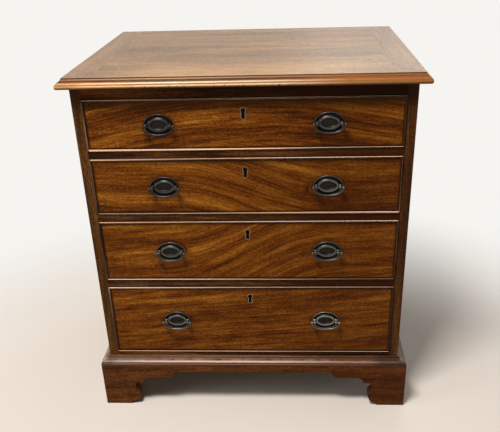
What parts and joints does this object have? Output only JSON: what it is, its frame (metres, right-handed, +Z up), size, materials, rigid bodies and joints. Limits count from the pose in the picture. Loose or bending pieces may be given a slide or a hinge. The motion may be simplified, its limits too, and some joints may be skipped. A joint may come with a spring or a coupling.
{
  "type": "chest of drawers",
  "caption": "Low wooden chest of graduated drawers with moulded top and base, shaped bracket feet, cockbeaded fronts, locks and swinging bail handles.",
  "frame": {"origin": "on the floor, at the middle of the overall width and depth", "axes": "+Z up, drawers open towards -Y, +X to the right when facing the drawers"},
  "size_m": [0.7452, 0.5666, 0.8154],
  "materials": {
    "top_mahogany": "polished mahogany, faded and waxed",
    "carcase_mahogany": "polished mahogany, dark",
    "moulding_mahogany": "polished mahogany mouldings",
    "foot_mahogany": "polished mahogany, rubbed at the edges",
    "front_mahogany": "figured mahogany with a wax polish",
    "bead_mahogany": "polished mahogany beads",
    "lining_oak": "bare oak, planed",
    "back_pine": "bare pine, aged",
    "handle_brass": "cast brass with a dark patina, rubbed bright on its high places",
    "lock_brass": "dull brass"
  },
  "bodies": {
    "carcase": {"top_board": "top_mahogany", "top_end_clamps": "top_mahogany", "side_left": "carcase_mahogany", "side_right": "carcase_mahogany", "carcase_bottom": "lining_oak", "back_boards": "back_pine", "top_rails": "carcase_mahogany", "drawer_blades": "carcase_mahogany", "drawer_runners": "lining_oak", "dustboards": "back_pine", "drawer_stops": "lining_oak", "base_mouldings": "moulding_mahogany", "plinth_strips": "foot_mahogany", "bracket_feet_front": "foot_mahogany", "bracket_feet_back": "foot_mahogany", "foot_glue_blocks": "back_pine"},
    "drawer_1": {"drawer_1_front": "front_mahogany", "drawer_1_cockbeads": "bead_mahogany", "drawer_1_sides": "lining_oak", "drawer_1_back": "lining_oak", "drawer_1_bottom": "back_pine", "drawer_1_lock": "lock_brass", "drawer_1_handle_plates": "handle_brass", "drawer_1_handle_posts": "handle_brass"},
    "drawer_1_bolt": {"drawer_1_lock_bolt": "lock_brass"},
    "drawer_1_bail_left": {"drawer_1_bail_left": "handle_brass"},
    "drawer_1_bail_right": {"drawer_1_bail_right": "handle_brass"},
    "drawer_2": {"drawer_2_front": "front_mahogany", "drawer_2_cockbeads": "bead_mahogany", "drawer_2_sides": "lining_oak", "drawer_2_back": "lining_oak", "drawer_2_bottom": "back_pine", "drawer_2_lock": "lock_brass", "drawer_2_handle_plates": "handle_brass", "drawer_2_handle_posts": "handle_brass"},
    "drawer_2_bolt": {"drawer_2_lock_bolt": "lock_brass"},
    "drawer_2_bail_left": {"drawer_2_bail_left": "handle_brass"},
    "drawer_2_bail_right": {"drawer_2_bail_right": "handle_brass"},
    "drawer_3": {"drawer_3_front": "front_mahogany", "drawer_3_cockbeads": "bead_mahogany", "drawer_3_sides": "lining_oak", "drawer_3_back": "lining_oak", "drawer_3_bottom": "back_pine", "drawer_3_lock": "lock_brass", "drawer_3_handle_plates": "handle_brass", "drawer_3_handle_posts": "handle_brass"},
    "drawer_3_bolt": {"drawer_3_lock_bolt": "lock_brass"},
    "drawer_3_bail_left": {"drawer_3_bail_left": "handle_brass"},
    "drawer_3_bail_right": {"drawer_3_bail_right": "handle_brass"},
    "drawer_4": {"drawer_4_front": "front_mahogany", "drawer_4_cockbeads": "bead_mahogany", "drawer_4_sides": "lining_oak", "drawer_4_back": "lining_oak", "drawer_4_bottom": "back_pine", "drawer_4_lock": "lock_brass", "drawer_4_handle_plates": "handle_brass", "drawer_4_handle_posts": "handle_brass"},
    "drawer_4_bolt": {"drawer_4_lock_bolt": "lock_brass"},
    "drawer_4_bail_left": {"drawer_4_bail_left": "handle_brass"},
    "drawer_4_bail_right": {"drawer_4_bail_right": "handle_brass"}
  },
  "joints": [
    {"name": "drawer_1_slide", "type": "slide", "parent": "carcase", "child": "drawer_1", "axis": [0, -1, 0], "range_m": [0, 0.38]},
    {"name": "drawer_1_bolt_slide", "type": "slide", "parent": "drawer_1", "child": "drawer_1_bolt", "axis": [0, 0, 1], "range_m": [0, 0.008]},
    {"name": "drawer_1_bail_left_hinge", "type": "hinge", "parent": "drawer_1", "child": "drawer_1_bail_left", "pos_m": [-0.175, -0.2732, 0.7144], "axis": [-1, 0, 0], "range_deg": [-20, 200]},
    {"name": "drawer_1_bail_right_hinge", "type": "hinge", "parent": "drawer_1", "child": "drawer_1_bail_right", "pos_m": [0.175, -0.2732, 0.7144], "axis": [-1, 0, 0], "range_deg": [-20, 200]},
    {"name": "drawer_2_slide", "type": "slide", "parent": "carcase", "child": "drawer_2", "axis": [0, -1, 0], "range_m": [0, 0.38]},
    {"name": "drawer_2_bolt_slide", "type": "slide", "parent": "drawer_2", "child": "drawer_2_bolt", "axis": [0, 0, 1], "range_m": [0, 0.008]},
    {"name": "drawer_2_bail_left_hinge", "type": "hinge", "parent": "drawer_2", "child": "drawer_2_bail_left", "pos_m": [-0.175, -0.2732, 0.5778], "axis": [-1, 0, 0], "range_deg": [-20, 200]},
    {"name": "drawer_2_bail_right_hinge", "type": "hinge", "parent": "drawer_2", "child": "drawer_2_bail_right", "pos_m": [0.175, -0.2732, 0.5778], "axis": [-1, 0, 0], "range_deg": [-20, 200]},
    {"name": "drawer_3_slide", "type": "slide", "parent": "carcase", "child": "drawer_3", "axis": [0, -1, 0], "range_m": [0, 0.38]},
    {"name": "drawer_3_bolt_slide", "type": "slide", "parent": "drawer_3", "child": "drawer_3_bolt", "axis": [0, 0, 1], "range_m": [0, 0.008]},
    {"name": "drawer_3_bail_left_hinge", "type": "hinge", "parent": "drawer_3", "child": "drawer_3_bail_left", "pos_m": [-0.175, -0.2732, 0.4216], "axis": [-1, 0, 0], "range_deg": [-20, 200]},
    {"name": "drawer_3_bail_right_hinge", "type": "hinge", "parent": "drawer_3", "child": "drawer_3_bail_right", "pos_m": [0.175, -0.2732, 0.4216], "axis": [-1, 0, 0], "range_deg": [-20, 200]},
    {"name": "drawer_4_slide", "type": "slide", "parent": "carcase", "child": "drawer_4", "axis": [0, -1, 0], "range_m": [0, 0.38]},
    {"name": "drawer_4_bolt_slide", "type": "slide", "parent": "drawer_4", "child": "drawer_4_bolt", "axis": [0, 0, 1], "range_m": [0, 0.008]},
    {"name": "drawer_4_bail_left_hinge", "type": "hinge", "parent": "drawer_4", "child": "drawer_4_bail_left", "pos_m": [-0.175, -0.2732, 0.238], "axis": [-1, 0, 0], "range_deg": [-20, 200]},
    {"name": "drawer_4_bail_right_hinge", "type": "hinge", "parent": "drawer_4", "child": "drawer_4_bail_right", "pos_m": [0.175, -0.2732, 0.238], "axis": [-1, 0, 0], "range_deg": [-20, 200]}
  ]
}
